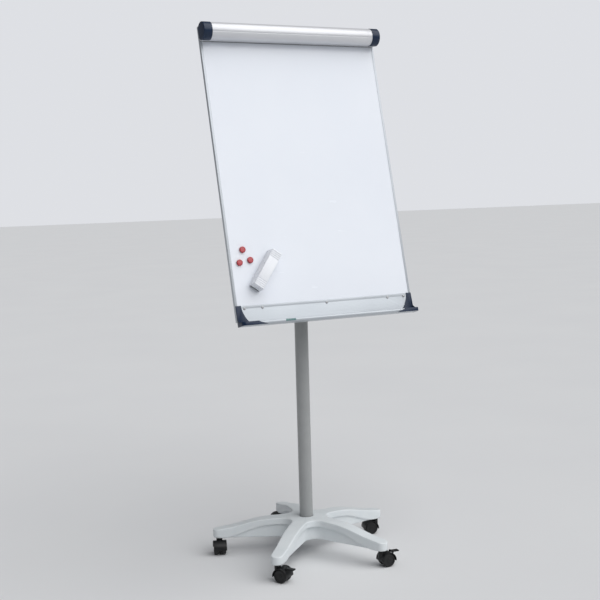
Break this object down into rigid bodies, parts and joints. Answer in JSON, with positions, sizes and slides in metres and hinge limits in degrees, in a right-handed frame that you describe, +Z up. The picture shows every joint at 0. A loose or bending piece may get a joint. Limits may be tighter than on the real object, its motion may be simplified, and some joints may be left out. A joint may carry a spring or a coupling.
{
  "type": "flipchart easel",
  "caption": "Mobile flipchart easel: a tilting whiteboard with pad clamp and pen tray on a height-adjustable column and a star base with castors.",
  "frame": {"origin": "on the floor, under the middle of the overall bounding box", "axes": "+Z up, +X to the right along the board, the board faces -Y"},
  "size_m": [0.7066, 0.6928, 1.962],
  "materials": {
    "base_plastic": "moulded glass-filled nylon, pale grey, satin",
    "steel_zinc": "zinc-plated steel",
    "column_paint": "grey powder coat on steel tube, fine texture",
    "black_plastic": "black moulded nylon",
    "head_paint": "grey powder coat",
    "writing_enamel": "white enamelled steel, glossy",
    "honeycomb": "paper honeycomb",
    "galvanised": "galvanised steel sheet",
    "anodised": "silver anodised extrusion",
    "bar_lacquer": "silver-white lacquered extrusion",
    "blue_plastic": "dark blue moulded ABS",
    "label_film": "plain green-blue film",
    "pin_plastic": "dark blue nylon",
    "grip_rubber": "black rubber strip",
    "eraser_white": "white moulded ABS",
    "eraser_felt": "dark grey felt",
    "magnet_red": "red moulded plastic over a magnet disc",
    "castor_black": "black moulded nylon",
    "castor_tread": "black polyurethane tread on a nylon wheel"
  },
  "bodies": {
    "base": {"star_base": "base_plastic", "castor_sockets": "steel_zinc", "column_outer_tube": "column_paint", "column_foot_bolt": "steel_zinc", "column_collar": "black_plastic"},
    "height_knob": {"height_knob": "black_plastic"},
    "height_slide": {"glide_bush": "black_plastic"},
    "head": {"column_inner_tube": "column_paint", "head_block": "head_paint"},
    "board": {"writing_sheet": "writing_enamel", "board_core": "honeycomb", "back_sheet": "galvanised", "frame_sides": "anodised", "frame_top_and_bottom": "anodised", "back_rails": "anodised", "tilt_bracket": "head_paint", "tilt_bolt": "steel_zinc", "rail_screws": "steel_zinc", "pen_tray": "anodised", "tray_screws": "steel_zinc", "tray_corner_left": "blue_plastic", "tray_corner_right": "blue_plastic", "tray_label": "label_film", "clamp_mount": "anodised", "clamp_hinge_rod": "steel_zinc", "clamp_springs": "steel_zinc"},
    "tilt_knob": {"tilt_knob": "black_plastic"},
    "pad_pin_left": {"pad_pin_left": "pin_plastic"},
    "pad_pin_right": {"pad_pin_right": "pin_plastic"},
    "clamp": {"clamp_bar": "bar_lacquer", "clamp_grip_strip": "grip_rubber", "clamp_cap_left": "blue_plastic", "clamp_cap_right": "blue_plastic"},
    "eraser": {"eraser_felt": "eraser_felt", "eraser_body": "eraser_white"},
    "magnet_1": {"magnet_1": "magnet_red"},
    "magnet_2": {"magnet_2": "magnet_red"},
    "magnet_3": {"magnet_3": "magnet_red"},
    "castor_1": {"castor_1_hood": "castor_black", "castor_1_stem_and_axle": "steel_zinc"},
    "castor_1_wheel_left": {"castor_1_wheel_left": "castor_tread"},
    "castor_1_wheel_right": {"castor_1_wheel_right": "castor_tread"},
    "castor_1_pedal": {"castor_1_brake_pedal": "castor_black"},
    "castor_2": {"castor_2_hood": "castor_black", "castor_2_stem_and_axle": "steel_zinc"},
    "castor_2_wheel_left": {"castor_2_wheel_left": "castor_tread"},
    "castor_2_wheel_right": {"castor_2_wheel_right": "castor_tread"},
    "castor_2_pedal": {"castor_2_brake_pedal": "castor_black"},
    "castor_3": {"castor_3_hood": "castor_black", "castor_3_stem_and_axle": "steel_zinc"},
    "castor_3_wheel_left": {"castor_3_wheel_left": "castor_tread"},
    "castor_3_wheel_right": {"castor_3_wheel_right": "castor_tread"},
    "castor_4": {"castor_4_hood": "castor_black", "castor_4_stem_and_axle": "steel_zinc"},
    "castor_4_wheel_left": {"castor_4_wheel_left": "castor_tread"},
    "castor_4_wheel_right": {"castor_4_wheel_right": "castor_tread"},
    "castor_5": {"castor_5_hood": "castor_black", "castor_5_stem_and_axle": "steel_zinc"},
    "castor_5_wheel_left": {"castor_5_wheel_left": "castor_tread"},
    "castor_5_wheel_right": {"castor_5_wheel_right": "castor_tread"}
  },
  "joints": [
    {"name": "column_height", "type": "slide", "parent": "base", "child": "height_slide", "axis": [0, 0, 1], "range_m": [-0.25, 0.05]},
    {"name": "column_turn", "type": "hinge", "parent": "height_slide", "child": "head", "pos_m": [0, -0.02381, 1.4519], "axis": [0, 0, 1], "range_deg": [-180, 180]},
    {"name": "board_tilt", "type": "hinge", "parent": "head", "child": "board", "pos_m": [0, -0.02381, 1.4519], "axis": [1, 0, 0], "range_deg": [-16, 14.5]},
    {"name": "height_knob_turn", "type": "hinge", "parent": "base", "child": "height_knob", "pos_m": [0, 0.01719, 1.061], "axis": [0, 1, 0], "range_deg": [-360, 0]},
    {"name": "tilt_knob_turn", "type": "hinge", "parent": "board", "child": "tilt_knob", "pos_m": [0.0313, -0.02381, 1.4519], "axis": [1, 0, 0], "range_deg": [0, 360]},
    {"name": "clamp_lift", "type": "hinge", "parent": "board", "child": "clamp", "pos_m": [0, -0.00476, 1.94173], "axis": [-1, 0, 0], "range_deg": [0, 75], "stiffness_Nm_per_rad": 1.2},
    {"name": "pad_pin_left_slide", "type": "slide", "parent": "board", "child": "pad_pin_left", "axis": [1, 0, 0], "range_m": [-0.06, 0.02]},
    {"name": "pad_pin_right_slide", "type": "slide", "parent": "board", "child": "pad_pin_right", "axis": [1, 0, 0], "range_m": [-0.02, 0.06]},
    {"name": "eraser_lift", "type": "slide", "parent": "board", "child": "eraser", "axis": [0, -0.9681, 0.2504], "range_m": [0, 0.06]},
    {"name": "magnet_1_lift", "type": "slide", "parent": "board", "child": "magnet_1", "axis": [0, -0.9681, 0.2504], "range_m": [0, 0.04]},
    {"name": "magnet_2_lift", "type": "slide", "parent": "board", "child": "magnet_2", "axis": [0, -0.9681, 0.2504], "range_m": [0, 0.04]},
    {"name": "magnet_3_lift", "type": "slide", "parent": "board", "child": "magnet_3", "axis": [0, -0.9681, 0.2504], "range_m": [0, 0.04]},
    {"name": "castor_1_swivel", "type": "hinge", "parent": "base", "child": "castor_1", "pos_m": [-0.23486, -0.26115, 0.0614], "axis": [0, 0, 1], "continuous": true},
    {"name": "castor_1_roll_left", "type": "hinge", "parent": "castor_1", "child": "castor_1_wheel_left", "pos_m": [-0.22368, -0.27773, 0.025], "axis": [-0.829, -0.5592, 0], "continuous": true},
    {"name": "castor_1_roll_right", "type": "hinge", "parent": "castor_1", "child": "castor_1_wheel_right", "pos_m": [-0.22368, -0.27773, 0.025], "axis": [-0.829, -0.5592, 0], "continuous": true},
    {"name": "castor_1_brake", "type": "hinge", "parent": "castor_1", "child": "castor_1_pedal", "pos_m": [-0.21222, -0.29472, 0.0502], "axis": [0.829, 0.5592, 0], "range_deg": [-0.5, 16]},
    {"name": "castor_2_swivel", "type": "hinge", "parent": "base", "child": "castor_2", "pos_m": [0.15314, -0.32052, 0.0614], "axis": [0, 0, 1], "continuous": true},
    {"name": "castor_2_roll_left", "type": "hinge", "parent": "castor_2", "child": "castor_2_wheel_left", "pos_m": [0.17314, -0.32087, 0.025], "axis": [-0.0175, -0.9998, 0], "continuous": true},
    {"name": "castor_2_roll_right", "type": "hinge", "parent": "castor_2", "child": "castor_2_wheel_right", "pos_m": [0.17314, -0.32087, 0.025], "axis": [-0.0175, -0.9998, 0], "continuous": true},
    {"name": "castor_2_brake", "type": "hinge", "parent": "castor_2", "child": "castor_2_pedal", "pos_m": [0.19364, -0.32123, 0.0502], "axis": [0.0175, 0.9998, 0], "range_deg": [-0.5, 16]},
    {"name": "castor_3_swivel", "type": "hinge", "parent": "base", "child": "castor_3", "pos_m": [0.32951, 0.03015, 0.0614], "axis": [0, 0, 1], "continuous": true},
    {"name": "castor_3_roll_left", "type": "hinge", "parent": "castor_3", "child": "castor_3_wheel_left", "pos_m": [0.30988, 0.03397, 0.025], "axis": [0.1908, 0.9816, 0], "continuous": true},
    {"name": "castor_3_roll_right", "type": "hinge", "parent": "castor_3", "child": "castor_3_wheel_right", "pos_m": [0.30988, 0.03397, 0.025], "axis": [0.1908, 0.9816, 0], "continuous": true},
    {"name": "castor_4_swivel", "type": "hinge", "parent": "base", "child": "castor_4", "pos_m": [0.05051, 0.30625, 0.0614], "axis": [0, 0, 1], "continuous": true},
    {"name": "castor_4_roll_left", "type": "hinge", "parent": "castor_4", "child": "castor_4_wheel_left", "pos_m": [0.03171, 0.31309, 0.025], "axis": [0.342, 0.9397, 0], "continuous": true},
    {"name": "castor_4_roll_right", "type": "hinge", "parent": "castor_4", "child": "castor_4_wheel_right", "pos_m": [0.03171, 0.31309, 0.025], "axis": [0.342, 0.9397, 0], "continuous": true},
    {"name": "castor_5_swivel", "type": "hinge", "parent": "base", "child": "castor_5", "pos_m": [-0.2983, 0.12622, 0.0614], "axis": [0, 0, 1], "continuous": true},
    {"name": "castor_5_roll_left", "type": "hinge", "parent": "castor_5", "child": "castor_5_wheel_left", "pos_m": [-0.30448, 0.1072, 0.025], "axis": [-0.9511, 0.309, 0], "continuous": true},
    {"name": "castor_5_roll_right", "type": "hinge", "parent": "castor_5", "child": "castor_5_wheel_right", "pos_m": [-0.30448, 0.1072, 0.025], "axis": [-0.9511, 0.309, 0], "continuous": true}
  ]
}
